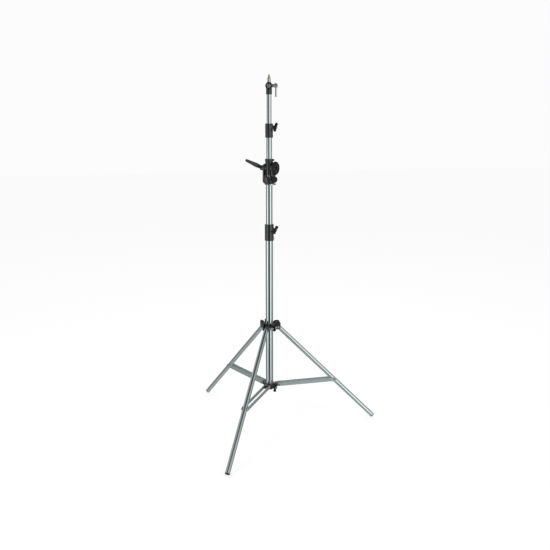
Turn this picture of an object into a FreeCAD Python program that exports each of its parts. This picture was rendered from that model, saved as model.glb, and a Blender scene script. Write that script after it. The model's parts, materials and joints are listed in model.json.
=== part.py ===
"""Boom lighting stand: three folding legs, telescopic column, tilting boom head, boom and spigot tip.

Units are millimetres. The origin is on the floor at the column's axis, +Z is up and leg 1 points along +X.
"""

import FreeCAD, Part

import math
import os

from FreeCAD import Matrix, Placement, Rotation, Vector

# ---- driving dimensions -------------------------------------------------------------------------------
RUN = 0.05                       # radial clearance of every running fit
WALL = 1.5                       # wall of every steel tube
COLUMN_R = 20.0                  # outer radii of the tubes, from the outside in
SECOND_R = 17.5
BOOM_R = 15.0
EXTENSION_R = 12.5
LEG_R = 12.5

LEG_AZIMUTHS = (0.0, 120.0, 240.0)
LEG_ANGLE = 44.2                 # leg from vertical when open, degrees
LEG_SIN = math.sin(math.radians(LEG_ANGLE))
LEG_COS = math.cos(math.radians(LEG_ANGLE))
LEG_PIVOT = (45.5, 571.3)        # radius and height of the leg's pivot
LEG_HEAD = 8.0                   # tube beyond the pivot
FOOT_R = 12.6                    # rubber foot
FOOT_ROUND = 1.5                 # rounding of its edge
FOOT_FLAT = 1.0                  # depth of the flat that the floor has worn on that edge
FOOT_DROP = (FOOT_R - FOOT_ROUND) * LEG_SIN + FOOT_ROUND - FOOT_FLAT
LEG_LENGTH = (LEG_PIVOT[1] - FOOT_DROP) / LEG_COS + FOOT_ROUND
BRACE_PIVOT = (48.0, 239.7)      # radius and height of the brace's inner pivot
BRACE_PIN_Z = 246.0              # height of the brace's outer pin
BRACE_PIN = (LEG_PIVOT[0] + (LEG_PIVOT[1] - BRACE_PIN_Z) * LEG_SIN / LEG_COS, BRACE_PIN_Z)
STRIP_WIDTH = 19.0
STRIP_THICK = 2.5
STRIP_GAP = 26.0                 # between the two strips of a brace
PIVOT_R = 4.0                    # every pivot bolt and clamp screw

SPIDER_R = 27.0                  # hub of both spiders
UPPER_SPIDER = (569.0, 589.0)    # bottom and top of its hub
FORK_Z = (557.0, 601.0)          # bottom and top of its forks
LOWER_SPIDER = (220.0, 249.0)
SPIDER_KNOB_AZIMUTH = -60.0

COLUMN_Z = (221.0, 1084.0)
SECOND_Z = (509.0, 1364.0)
BOOM_Z = (729.0, 1604.0)
EXTENSION_Z = (909.0, 1784.0)
GUIDE_HEIGHT = 40.0              # guide ring at the foot of each sliding tube

COLUMN_COLLAR = (1042.0, 1128.0)
COLUMN_COLLAR_R = 23.5
COLUMN_KNOB = (-45.0, 1101.0)    # azimuth and height of the clamp screw
BOOM_COLLAR = (1569.0, 1639.0)
BOOM_COLLAR_R = 19.8
BOOM_KNOB = (-35.0, 1621.0)

TILT_AZIMUTH = -35.0
TILT_Z = 1417.0
YOKE_Z = (1334.0, 1376.0)
CHEEK = (21.0, 28.0)             # inner and outer face of a yoke cheek, from the column's axis
CRADLE_Z = (1380.0, 1464.0)
LEVER_ARM = Vector(-89.0, 44.0, -49.0)   # from hub to tip, in the tilt axis's own frame
DISC_R = 34.0                    # hand wheel at the end of the tilt axis
WHEEL = (CHEEK[1] + 0.6, CHEEK[1] + 17.6)   # its inner and outer face

SWIVEL_AZIMUTH = -108.0          # the swivel bolt's axis; the tommy screw points 90 degrees further on
TIP_Z = 1822.0
TIP_R = 15.0                     # ferrule
HOUSING_R = 17.5
HOUSING_HALF = 13.5              # half the depth of the swivel housing
SPIGOT_R = 8.0
SPIGOT_Z = (1840.0, 1862.0)
STUD_R = 4.75
STUD_TOP = 1875.0
BAR_R = 4.3
BAR_Z = (1767.0, 1835.0)

UP = Vector(0, 0, 1)
ORIGIN = Vector(0, 0, 0)


# ---- helpers ------------------------------------------------------------------------------------------
def disc(radius, low, high):
    """Upright cylinder on the column's axis between two heights."""
    return Part.makeCylinder(radius, high - low, Vector(0, 0, low))


def ring(outer, inner, low, high):
    """Upright tube on the column's axis."""
    return disc(outer, low, high).cut(disc(inner, low - 1, high + 1))


def rod(radius, start, end):
    """Cylinder from one point to another."""
    along = end - start
    return Part.makeCylinder(radius, along.Length, start, along)


def cone(radius_start, radius_end, start, end):
    """Tapered rod from one point to another."""
    along = end - start
    return Part.makeCone(radius_start, radius_end, along.Length, start, along)


def block(low, high):
    """Box between two opposite corners."""
    size = high - low
    return Part.makeBox(size.x, size.y, size.z, low)


def join(first, *others):
    """One clean solid from touching or crossing shapes."""
    return first.fuse(list(others)).removeSplitter()


def radial(azimuth, height, roll=0.0):
    """Placement whose local Z runs outward at an azimuth, local Y up, local X along the tangent."""
    a = math.radians(azimuth)
    c = math.cos(a)
    s = math.sin(a)
    outward = Placement(Matrix(-s, 0, c, 0, c, 0, s, 0, 0, 1, 0, height, 0, 0, 0, 1))
    return outward.multiply(Placement(ORIGIN, Rotation(Vector(0, 0, 1), roll)))


def put(shape, placement):
    """Copy of a shape in its place."""
    moved = shape.copy()
    moved.Placement = placement.multiply(moved.Placement)
    return moved


def turned(shape, azimuth):
    """Copy turned about the column's axis."""
    copy = shape.copy()
    copy.rotate(ORIGIN, UP, azimuth)
    return copy


def prism_y(points, half_width):
    """Solid from an outline in the XZ plane, reaching half_width to both sides of it."""
    corners = [Vector(x, -half_width, z) for x, z in points]
    face = Part.Face(Part.makePolygon(corners + corners[:1]))
    return face.extrude(Vector(0, 2 * half_width, 0))


def softened(shape, radius, chosen):
    """Fillet the edges that a test picks, and keep the sharp shape if the kernel refuses."""
    edges = [edge for edge in shape.Edges if chosen(edge)]
    if not edges:
        return shape
    try:
        soft = shape.makeFillet(radius, edges)
    except Part.OCCError:
        return shape
    return soft if soft.isValid() else shape


def save(node, *solids):
    """Write one sub-part, a compound when it is made of several solids."""
    shape = solids[0] if len(solids) == 1 else Part.makeCompound(list(solids))
    shape.exportStep(os.path.join("parts", node + ".step"))


# ---- clamp screws and wing knobs ----------------------------------------------------------------------
WING_SPAN = 48.0
WING_THICK = 9.0
WING_LOBE_R = 7.5
KNOB_HUB_R = 9.0
KNOB_LENGTH = 17.0
HEAD_HEIGHT = 2.0                # of a clamp screw's head
BROAD_HEAD_R = 7.0               # head of the clamp screws of both spiders


def wing_knob():
    """Moulded wing knob, its axis along local Z, its back face at Z 0, the wings along local Y."""
    reach = WING_SPAN / 2 - WING_LOBE_R
    middle = KNOB_LENGTH - WING_LOBE_R
    hub = join(
        cone(KNOB_HUB_R, KNOB_HUB_R - 1.5, ORIGIN, Vector(0, 0, KNOB_LENGTH - 2)),
        cone(KNOB_HUB_R - 1.5, KNOB_HUB_R - 3.5, Vector(0, 0, KNOB_LENGTH - 2), Vector(0, 0, KNOB_LENGTH)),
    )
    half = WING_THICK / 2
    lobes = [rod(WING_LOBE_R, Vector(-half, side * reach, middle), Vector(half, side * reach, middle))
             for side in (-1, 1)]
    web_low = Vector(-half, -reach, middle - WING_LOBE_R + 1)
    web = block(web_low, Vector(half, reach, middle + WING_LOBE_R - 2.5))
    knob = join(hub, web, *lobes)
    bore = rod(PIVOT_R, Vector(0, 0, -1), Vector(0, 0, KNOB_LENGTH + 1))
    return knob.cut(bore)


def clamp_screw(start, back_face, head_r):
    """Screw of a wing knob along local Z, from its tip to a low head on the knob's face."""
    end = back_face + KNOB_LENGTH
    shank = rod(PIVOT_R, Vector(0, 0, start), Vector(0, 0, end))
    head = cone(head_r, head_r - 1.5, Vector(0, 0, end), Vector(0, 0, end + HEAD_HEIGHT))
    return join(shank, head)


def clamp_set(name, azimuth, height, tip_at, knob_at, roll, head_r=PIVOT_R):
    """Screw and wing knob of one clamp."""
    place = radial(azimuth, height, roll)
    save(name + "_screw", put(clamp_screw(tip_at, knob_at, head_r), place))
    save(name + "_knob", put(wing_knob(), place.multiply(Placement(Vector(0, 0, knob_at), Rotation()))))


def boss_hole(azimuth, height, start, end, radius=PIVOT_R + RUN):
    """Radial hole for a clamp screw."""
    return put(rod(radius, Vector(0, 0, start), Vector(0, 0, end)), radial(azimuth, height))


# ---- base: legs, braces and spiders -------------------------------------------------------------------
def leg_point(distance):
    """Point on the axis of the open leg at azimuth 0."""
    return Vector(LEG_PIVOT[0] + distance * LEG_SIN, 0, LEG_PIVOT[1] - distance * LEG_COS)


FOOT_CAP = 5.0                   # length of foot plug outside the tube
PLUG_DEPTH = 24.0                # length of a plug inside a tube


def cross_hole(point, radius, half_width=40.0):
    """Hole along Y through a point in the XZ plane."""
    return rod(radius, Vector(point.x, -half_width, point.z), Vector(point.x, half_width, point.z))


def leg():
    """Tube, top insert and foot plug of the leg at azimuth 0."""
    inner = LEG_R - WALL
    pivot = leg_point(0)
    top = leg_point(-LEG_HEAD)
    foot = leg_point(LEG_LENGTH - FOOT_CAP)
    hole = cross_hole(pivot, PIVOT_R + RUN)
    tube = rod(LEG_R, top, foot).cut(rod(inner, leg_point(-LEG_HEAD - 1), leg_point(LEG_LENGTH))).cut(hole)
    head_plug = rod(inner, top, leg_point(PLUG_DEPTH))
    head_cap = cone(LEG_R - 3, LEG_R, leg_point(-LEG_HEAD - 3), top)
    insert = join(head_plug, head_cap).cut(hole)
    end_face = leg_point(LEG_LENGTH)
    cap = rod(FOOT_R, foot, end_face)
    cap = softened(cap, FOOT_ROUND, lambda edge: (edge.CenterOfMass - end_face).Length < 0.5)
    plug = join(rod(inner, leg_point(LEG_LENGTH - FOOT_CAP - PLUG_DEPTH), foot), cap)
    floor = block(Vector(end_face.x - 60, -40, -40), Vector(end_face.x + 60, 40, 0))
    return tube, insert, plug.cut(floor)


def brace():
    """Two flat strips and their two stub rivets at azimuth 0."""
    start = Vector(BRACE_PIVOT[0], 0, BRACE_PIVOT[1])
    end = Vector(BRACE_PIN[0], 0, BRACE_PIN[1])
    along = end - start
    along.normalize()
    side = Vector(-along.z, 0, along.x) * (STRIP_WIDTH / 2)
    strips = []
    rivets = []
    for sign in (-1, 1):
        near = sign * STRIP_GAP / 2
        outward = Vector(0, sign * STRIP_THICK, 0)
        corners = [start + side, end + side, end - side, start - side]
        corners = [point + Vector(0, near, 0) for point in corners]
        plate = Part.Face(Part.makePolygon(corners + corners[:1])).extrude(outward)
        rounds = [Part.makeCylinder(STRIP_WIDTH / 2, STRIP_THICK, point + Vector(0, near, 0), outward)
                  for point in (start, end)]
        strip = join(plate, *rounds)
        strip = strip.cut(cross_hole(start, PIVOT_R + RUN)).cut(cross_hole(end, PIVOT_R))
        strips.append(strip)
        face = near + outward.y
        shank = rod(PIVOT_R, end + Vector(0, sign * (LEG_R + 0.3), 0), end + Vector(0, face, 0))
        dome = cone(7.5, 5.0, end + Vector(0, face, 0), end + Vector(0, face + sign * 2.4, 0))
        rivets.append(join(shank, dome))
    return strips, rivets


def pivot_bolt(point, half_width):
    """Hexagon bolt along Y with its nut, as one solid."""
    shank_start = Vector(point.x, -half_width, point.z)
    shank_end = Vector(point.x, half_width, point.z)
    shank = rod(PIVOT_R, shank_start, shank_end)
    ends = []
    for at, out, height in ((shank_start, -1, 5.0), (shank_end, 1, 6.0)):
        corners = [at + Vector(7.5 * math.cos(math.radians(k)), 0, 7.5 * math.sin(math.radians(k)))
                   for k in range(0, 360, 60)]
        ends.append(Part.Face(Part.makePolygon(corners + corners[:1])).extrude(Vector(0, out * height, 0)))
    return join(shank, *ends)


EAR_GAP = 13.2                   # inner face of an ear of the upper spider, from the leg's plane
EAR_THICK = 5.0
LUG_HALF = 12.5                  # half the width of a lug of the lower spider
BOSS_R = 9.5                     # boss of a clamp screw
SPIDER_LINER = 2.0               # wall of the upper spider's liner, with its clearance


def spider_hub(span):
    """Round hub of a spider with the boss of its clamp screw."""
    low, high = span
    hub = disc(SPIDER_R, low, high)
    half = (high - low) / 2
    hub = softened(hub, 3.0, lambda edge: abs(edge.CenterOfMass.z - low - half) > half - 0.1)
    middle = (low + high) / 2
    boss = put(rod(BOSS_R, Vector(0, 0, SPIDER_R - 6), Vector(0, 0, SPIDER_R + 11)),
               radial(SPIDER_KNOB_AZIMUTH, middle))
    return join(hub, boss)


def upper_spider():
    """Sliding hub with three forks that stand above it and hold the legs."""
    hub = spider_hub(UPPER_SPIDER)
    radius, height = LEG_PIVOT
    low, high = UPPER_SPIDER
    foot, crown = FORK_Z
    root = SPIDER_R - 9
    outline = [(root, high), (SPIDER_R + 5, crown), (radius + 7, crown), (radius + 12.4, crown - 7),
               (radius + 12.4, foot + 9), (radius + 5, foot), (SPIDER_R + 2, foot), (root, low)]
    fork = prism_y(outline, EAR_GAP + EAR_THICK)
    body = join(hub, *[turned(fork, azimuth) for azimuth in LEG_AZIMUTHS])
    slot = block(Vector(SPIDER_R + 0.5, -EAR_GAP, foot - 5), Vector(radius + 30, EAR_GAP, crown + 5))
    above = block(Vector(10, -EAR_GAP, high), Vector(SPIDER_R + 5, EAR_GAP, crown + 5))
    clear = rod(EAR_GAP + 0.4, Vector(radius - 4, 0, foot - 6), Vector(radius - 4, 0, crown + 6))
    hole = cross_hole(Vector(radius, 0, height), PIVOT_R)
    for azimuth in LEG_AZIMUTHS:
        for cutter in (slot, above, clear, hole):
            body = body.cut(turned(cutter, azimuth))
    body = body.cut(disc(COLUMN_R + SPIDER_LINER, foot - 1, crown + 1))
    middle = (low + high) / 2
    return body.cut(boss_hole(SPIDER_KNOB_AZIMUTH, middle, SPIDER_R - 8, SPIDER_R + 12))


def lower_spider():
    """Hub clamped to the column's foot, with three lugs between the brace strips."""
    hub = spider_hub(LOWER_SPIDER)
    radius, height = BRACE_PIVOT
    low, high = LOWER_SPIDER
    outline = [(SPIDER_R - 4, high - 3), (radius - 6, height + 10), (radius, height + 10),
               (radius + 9.5, height + 3), (radius + 9.5, height - 3), (radius + 4, height - 9),
               (SPIDER_R - 4, low + 3)]
    lug = prism_y(outline, LUG_HALF)
    nose = rod(10.0, Vector(radius, -LUG_HALF, height), Vector(radius, LUG_HALF, height))
    lug = join(lug, nose)
    body = join(hub, *[turned(lug, azimuth) for azimuth in LEG_AZIMUTHS])
    hole = cross_hole(Vector(radius, 0, height), PIVOT_R)
    for azimuth in LEG_AZIMUTHS:
        body = body.cut(turned(hole, azimuth))
    body = body.cut(disc(COLUMN_R, low - 1, high + 1))
    middle = (low + high) / 2
    return body.cut(boss_hole(SPIDER_KNOB_AZIMUTH, middle, SPIDER_R - 8, SPIDER_R + 12))


def save_base():
    """Write the legs, the braces, both spiders and their hardware."""
    tube, insert, plug = leg()
    strips, rivets = brace()
    for number, azimuth in enumerate(LEG_AZIMUTHS, 1):
        save("leg_tube_%d" % number, turned(tube, azimuth))
        save("leg_end_insert_%d" % number, turned(insert, azimuth))
        save("foot_plug_%d" % number, turned(plug, azimuth))
        save("brace_strips_%d" % number, *[turned(strip, azimuth) for strip in strips])
        save("brace_rivets_%d" % number, *[turned(rivet, azimuth) for rivet in rivets])
    save("upper_spider", upper_spider())
    low, high = UPPER_SPIDER
    middle = (low + high) / 2
    liner = ring(COLUMN_R + SPIDER_LINER, COLUMN_R + RUN, low, high)
    save("upper_spider_liner", liner.cut(boss_hole(SPIDER_KNOB_AZIMUTH, middle, 15, 30, 5.0)))
    save("lower_spider", lower_spider())
    leg_bolt = pivot_bolt(Vector(LEG_PIVOT[0], 0, LEG_PIVOT[1]), EAR_GAP + EAR_THICK)
    brace_bolt = pivot_bolt(Vector(BRACE_PIVOT[0], 0, BRACE_PIVOT[1]), STRIP_GAP / 2 + STRIP_THICK + 0.2)
    save("leg_pivot_bolts", *[turned(leg_bolt, azimuth) for azimuth in LEG_AZIMUTHS])
    save("brace_pivot_bolts", *[turned(brace_bolt, azimuth) for azimuth in LEG_AZIMUTHS])
    knob_at = SPIDER_R + 12.5
    clamp_set("upper_spider", SPIDER_KNOB_AZIMUTH, middle, COLUMN_R + 0.3, knob_at, -25.0, BROAD_HEAD_R)
    foot_middle = sum(LOWER_SPIDER) / 2
    clamp_set("lower_spider", SPIDER_KNOB_AZIMUTH, foot_middle, COLUMN_R + 0.3, knob_at, -15.0, BROAD_HEAD_R)


# ---- telescopic tubes and collars ---------------------------------------------------------------------
def guide(outer_tube_r, tube_r, foot):
    """Ring at the foot of a sliding tube: it rubs inside the outer tube, and the tube turns in it."""
    inside = outer_tube_r - WALL - RUN
    body = disc(inside, foot - 3, foot + GUIDE_HEIGHT)
    seat = disc(tube_r + RUN, foot - RUN, foot + GUIDE_HEIGHT + 1)
    opening = disc(tube_r - WALL, foot - 4, foot + GUIDE_HEIGHT)
    return body.cut(seat).cut(opening)


FIXING_R = 3.0
FIXING_BOSS = 3.0                # the fixing screw's boss stands this far out of the collar
FIXING_RISE = 13.0               # and this far above its foot


def collar(span, outer, tube_r, slider_r, knob):
    """Clamp collar on a tube's mouth, with a boss for its clamp screw."""
    low, high = span
    azimuth, height = knob
    body = disc(outer, low, high)
    body = softened(body, 2.5, lambda edge: abs(edge.CenterOfMass.z - high) < 0.1)
    boss = put(rod(9.5, Vector(0, 0, tube_r - 2), Vector(0, 0, outer + 5)), radial(azimuth, height))
    body = join(body, boss)
    body = body.cut(disc(tube_r, low - 1, high - 3)).cut(disc(slider_r + 0.8, high - 4, high + 1))
    return body.cut(boss_hole(azimuth, height, 5, outer + 12))


def column_collar():
    """The column's collar, with a second boss for its fixing screw."""
    low = COLUMN_COLLAR[0]
    azimuth = COLUMN_KNOB[0]
    start = Vector(0, 0, COLUMN_R - 2)
    face = Vector(0, 0, COLUMN_COLLAR_R + FIXING_BOSS)
    boss = put(rod(6.5, start, face), radial(azimuth, low + FIXING_RISE))
    body = join(collar(COLUMN_COLLAR, COLUMN_COLLAR_R, COLUMN_R, SECOND_R, COLUMN_KNOB), boss)
    body = body.cut(disc(COLUMN_R, low - 1, COLUMN_COLLAR[1] - 3))
    return body.cut(boss_hole(azimuth, low + FIXING_RISE, 5, COLUMN_COLLAR_R + 9, FIXING_R))


def collar_liner(span, tube_top, tube_r, slider_r, knob):
    """Plastic liner inside a collar, with a window for the clamp pad."""
    azimuth, height = knob
    liner = ring(tube_r, slider_r + RUN, tube_top, span[1] - 3)
    return liner.cut(boss_hole(azimuth, height, 5, tube_r + 5, 6.5))


def collar_pad(tube_r, slider_r, knob):
    """Brass pad between a clamp screw and the sliding tube."""
    azimuth, height = knob
    pad = put(rod(6.2, Vector(0, 0, slider_r - 4), Vector(0, 0, tube_r - 0.4)), radial(azimuth, height))
    pad = pad.common(disc(tube_r - 0.2, height - 20, height + 20))
    return pad.cut(disc(slider_r + 0.1, height - 20, height + 20))


def collar_fixing():
    """Socket screw that holds the column's collar on its tube."""
    face = COLUMN_COLLAR_R + FIXING_BOSS
    shank = rod(FIXING_R, Vector(0, 0, COLUMN_R + 0.1), Vector(0, 0, face))
    head = rod(5.0, Vector(0, 0, face), Vector(0, 0, face + 4))
    socket = rod(2.2, Vector(0, 0, face + 1.5), Vector(0, 0, face + 5))
    return put(join(shank, head).cut(socket), radial(COLUMN_KNOB[0], COLUMN_COLLAR[0] + FIXING_RISE))


def save_collar(name, span, outer, tube_top, tube_r, slider_r, knob, roll):
    """Write the liner, pad, screw and knob of a collar."""
    save(name + "_liner", collar_liner(span, tube_top, tube_r, slider_r, knob))
    save(name + "_pad", collar_pad(tube_r, slider_r, knob))
    clamp_set(name, knob[0], knob[1], tube_r - 0.3, outer + 6.5, roll)


def save_tubes():
    """Write the four nested tubes, their plugs and guides, and both collars."""
    save("column_tube", ring(COLUMN_R, COLUMN_R - WALL, *COLUMN_Z))
    save("second_column_tube", ring(SECOND_R, SECOND_R - WALL, *SECOND_Z))
    save("boom_tube", ring(BOOM_R, BOOM_R - WALL, *BOOM_Z))
    save("extension_tube", ring(EXTENSION_R, EXTENSION_R - WALL, *EXTENSION_Z))
    foot = COLUMN_Z[0]
    plug = join(disc(COLUMN_R - WALL, foot - 6, foot + PLUG_DEPTH), disc(COLUMN_R, foot - 6, foot))
    plug = plug.cut(disc(COLUMN_R - WALL - 3, foot - 2, foot + PLUG_DEPTH + 1))
    save("column_foot_plug", plug)
    save("second_column_guide", guide(COLUMN_R, SECOND_R, SECOND_Z[0]))
    save("extension_guide", guide(BOOM_R, EXTENSION_R, EXTENSION_Z[0]))
    save_collar("column_collar", COLUMN_COLLAR, COLUMN_COLLAR_R, COLUMN_Z[1], COLUMN_R, SECOND_R,
                COLUMN_KNOB, -42.0)
    save("column_collar", column_collar())
    save("column_collar_fixing_screw", collar_fixing())
    save("boom_collar", collar(BOOM_COLLAR, BOOM_COLLAR_R, BOOM_R, EXTENSION_R, BOOM_KNOB))
    save_collar("boom_collar", BOOM_COLLAR, BOOM_COLLAR_R, BOOM_Z[1], BOOM_R, EXTENSION_R,
                BOOM_KNOB, -35.0)


# ---- tilting head -------------------------------------------------------------------------------------
TRUNNION_R = 16.0
TRUNNION_FACE = 19.4
TILT_STUD_R = 5.0
STUB_R = 8.0                     # hollow stub of the cradle that turns in the right cheek
LOCK_SCREW_R = 5.0
LINER_R = 16.5                   # split plastic liner of the cradle
LOCK_AZIMUTH = -64.0             # knurled knob that locks the head on the second column
LOCK_Z = 1362.0
LOCK_KNOB = (38.6, 52.0)         # inner and outer face of that knob, from the column's axis
LOCK_KNOB_R = 14.5
LOCK_KNURLS = 24
YOKE_HALF = (35.0, 33.0)         # half the yoke's base across and along the tilt axis
YOKE_CORNER = 32.0               # rounding of its upright edges
NECK_R = 25.0                    # neck below the base
NECK_HEIGHT = 6.0
CROWN_R = 21.8                   # round top of a cheek
PLATE_R = 35.0                   # bright plate under the base, a ring around the neck
PLATE_SPAN = (-100.0, 35.0)      # azimuths that the plate reaches over
WHEEL_RIBS = 24
KNOB_WALL = 3.0                  # face of the hand wheel and the lock knob over the end of its screw
LEVER_HUB_R = 13.5
LEVER_ROOT_R = 8.0               # radii of the arm at its root, where it is thickest, and at its tip
LEVER_SWELL_R = 11.5
LEVER_TIP_R = 7.2


def pie_slice(azimuths, low, high):
    """Slice about the column's axis between two azimuths, wider than the head."""
    start, end = azimuths
    piece = Part.makeCylinder(60.0, high - low, Vector(0, 0, low), UP, end - start)
    piece.rotate(ORIGIN, UP, start)
    return piece


def on_tilt(shape):
    """Place a shape in the tilt axis's frame: Z along the axis to the hand wheel, Y up."""
    return put(shape, radial(TILT_AZIMUTH, TILT_Z))


def head_yoke():
    """Block around the second column's top, with two cheeks that carry the cradle."""
    low, high = YOKE_Z
    half_x, half_z = YOKE_HALF
    foot = low - TILT_Z + NECK_HEIGHT - 1
    top = high - TILT_Z
    base = block(Vector(-half_x, foot, -half_z), Vector(half_x, top, half_z))
    upright = [edge for edge in base.Edges if abs(edge.tangentAt(edge.FirstParameter).y) > 0.9]
    base = base.makeFillet(YOKE_CORNER, upright)
    base = softened(base, 13.0, lambda edge: edge.BoundBox.YMax < foot + 0.1)
    base = on_tilt(softened(base, 5.0, lambda edge: edge.BoundBox.YMin > top - 0.1))
    neck = disc(NECK_R, low, low + NECK_HEIGHT)
    cheeks = []
    for side in (-1, 1):
        start = side * CHEEK[0]
        end = side * CHEEK[1]
        lower = high - TILT_Z - 4
        outline = ((-20, lower), (20, lower), (21, 6), (-21, 6))
        corners = [Vector(x, y, start) for x, y in outline]
        web = Part.Face(Part.makePolygon(corners + corners[:1])).extrude(Vector(0, 0, end - start))
        crown = rod(CROWN_R, Vector(0, 0, start), Vector(0, 0, end))
        cheeks.append(on_tilt(join(web, crown)))
    body = join(base, neck, *cheeks)
    body = body.cut(disc(SECOND_R, low - 1, SECOND_Z[1])).cut(disc(BOOM_R + 1.0, low, high + 1))
    body = body.cut(on_tilt(rod(STUB_R + RUN, Vector(0, 0, 10), Vector(0, 0, 40))))
    body = body.cut(on_tilt(rod(TILT_STUD_R + RUN, Vector(0, 0, -10), Vector(0, 0, -40))))
    return body.cut(boss_hole(LOCK_AZIMUTH, LOCK_Z, 10, 60))


def boom_cradle():
    """Sleeve that the boom slides through, with a flat trunnion on each side."""
    low, high = CRADLE_Z
    sleeve = join(disc(18.6, low, high), disc(20.0, TILT_Z + TRUNNION_R + 1, high - 12))
    trunnions = rod(TRUNNION_R, Vector(0, 0, -TRUNNION_FACE), Vector(0, 0, TRUNNION_FACE))
    stub = rod(STUB_R, Vector(0, 0, TRUNNION_FACE - 1), Vector(0, 0, CHEEK[1]))
    body = join(sleeve, on_tilt(trunnions), on_tilt(stub)).cut(disc(LINER_R + RUN, low + 3, high - 3))
    body = body.cut(disc(BOOM_R + 0.5, low - 1, high + 1))
    body = body.cut(on_tilt(rod(LOCK_SCREW_R + RUN, Vector(0, 0, 5), Vector(0, 0, CHEEK[1] + 1))))
    return body.cut(on_tilt(rod(TILT_STUD_R + RUN, Vector(0, 0, -5), Vector(0, 0, -25))))


def tilt_lever():
    """Clamping lever: a hub on the tilt axis and a swelling arm cranked outward."""
    hub_start = Vector(0, 0, -CHEEK[1] - 0.5)
    hub_end = Vector(0, 0, -CHEEK[1] - 19)
    root = Vector(0, 0, -CHEEK[1] - 12)
    swell = root + LEVER_ARM * 0.33
    tip = root + LEVER_ARM * (1 - LEVER_TIP_R / LEVER_ARM.Length)
    lever = join(rod(LEVER_HUB_R, hub_start, hub_end), cone(LEVER_ROOT_R, LEVER_SWELL_R, root, swell),
                 Part.makeSphere(LEVER_SWELL_R, swell), cone(LEVER_SWELL_R, LEVER_TIP_R, swell, tip),
                 Part.makeSphere(LEVER_TIP_R, tip))
    lever = lever.cut(rod(9.0, hub_end, hub_end - Vector(0, 0, 20)))
    return on_tilt(lever.cut(rod(TILT_STUD_R, Vector(0, 0, -20), Vector(0, 0, -CHEEK[1] - 30))))


def tilt_stud():
    """Stud of the tilt lever, screwed into the cradle, with a domed nut outside the lever."""
    shank = rod(TILT_STUD_R, Vector(0, 0, -LINER_R - 0.8), Vector(0, 0, -CHEEK[1] - 19))
    nut = cone(8.5, 6.0, Vector(0, 0, -CHEEK[1] - 19), Vector(0, 0, -CHEEK[1] - 24))
    return on_tilt(join(shank, nut))


def boom_lock_knob():
    """Large ribbed hand wheel that tightens the boom in its cradle."""
    start, end = WHEEL
    shoulder = Vector(0, 0, end - 5)
    wheel = join(rod(DISC_R - 1.5, Vector(0, 0, start), shoulder),
                 cone(DISC_R - 1.5, DISC_R - 6, shoulder, Vector(0, 0, end)))
    turns = [2 * math.pi * n / WHEEL_RIBS for n in range(WHEEL_RIBS)]
    rim = [Vector(math.cos(turn), math.sin(turn), 0) * (DISC_R - 2.6) for turn in turns]
    ribs = [rod(2.6, point + Vector(0, 0, start), point + Vector(0, 0, end - 5)) for point in rim]
    wheel = join(wheel, *ribs)
    dish = rod(24.0, Vector(0, 0, end - 3), Vector(0, 0, end + 1))
    hub = rod(10.0, Vector(0, 0, end - 4), Vector(0, 0, end + 1.5))
    wheel = join(wheel.cut(dish), hub)
    return on_tilt(wheel.cut(rod(LOCK_SCREW_R, Vector(0, 0, start - 1), Vector(0, 0, end - KNOB_WALL))))


def save_head():
    """Write the yoke, the cradle and everything that clamps them."""
    save("head_yoke", head_yoke())
    save("boom_cradle", boom_cradle())
    liner = ring(LINER_R, BOOM_R + RUN, CRADLE_Z[0] + 3 + RUN, CRADLE_Z[1] - 3 - RUN)
    slit = block(Vector(BOOM_R - 3, -1, CRADLE_Z[0]), Vector(LINER_R + 1, 1, CRADLE_Z[1]))
    save("boom_liner", liner.cut(slit))
    washer = rod(TRUNNION_R, Vector(0, 0, TRUNNION_FACE + 0.1), Vector(0, 0, CHEEK[0] - 0.1))
    right = washer.cut(rod(STUB_R + RUN, Vector(0, 0, 15), Vector(0, 0, 25)))
    left = washer.cut(rod(TILT_STUD_R + RUN, Vector(0, 0, 15), Vector(0, 0, 25)))
    left.rotate(ORIGIN, Vector(0, 1, 0), 180)
    save("tilt_friction_discs", on_tilt(right), on_tilt(left))
    save("tilt_stud", tilt_stud())
    save("tilt_lever", tilt_lever())
    save("boom_lock_knob", boom_lock_knob())
    screw = rod(LOCK_SCREW_R, Vector(0, 0, LINER_R + 1.6), Vector(0, 0, WHEEL[1] - KNOB_WALL))
    save("boom_lock_screw", on_tilt(screw))
    low, high = CRADLE_Z
    clamp = join(disc(21.5, high - 12, high - 1),
                 put(rod(5.0, Vector(0, 0, 15), Vector(0, 0, 26)), radial(TILT_AZIMUTH + 20, high - 6.5)))
    save("cradle_clamp_ring", clamp.cut(disc(18.6, low, high + 1)))
    plate = ring(PLATE_R, NECK_R, YOKE_Z[0] - 2, YOKE_Z[0] + NECK_HEIGHT - 1.1)
    save("head_base_plate", plate.common(pie_slice(PLATE_SPAN, YOKE_Z[0] - 3, YOKE_Z[0] + 8)))
    lock_place = radial(LOCK_AZIMUTH, LOCK_Z)
    inner, outer = LOCK_KNOB
    screw = rod(PIVOT_R, Vector(0, 0, SECOND_R + 0.2), Vector(0, 0, outer - KNOB_WALL))
    save("head_lock_screw", put(screw, lock_place))
    turns = [2 * math.pi * n / LOCK_KNURLS for n in range(LOCK_KNURLS)]
    rim = [Vector(math.cos(turn) * LOCK_KNOB_R, math.sin(turn) * LOCK_KNOB_R, 0) for turn in turns]
    knurls = [rod(1.3, point + Vector(0, 0, inner + 2), point + Vector(0, 0, outer - 1)) for point in rim]
    lock = join(rod(LOCK_KNOB_R, Vector(0, 0, inner), Vector(0, 0, outer)), *knurls)
    lock = lock.cut(rod(PIVOT_R, Vector(0, 0, inner - 5), Vector(0, 0, outer - KNOB_WALL)))
    save("head_lock_knob", put(lock, lock_place))


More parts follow.
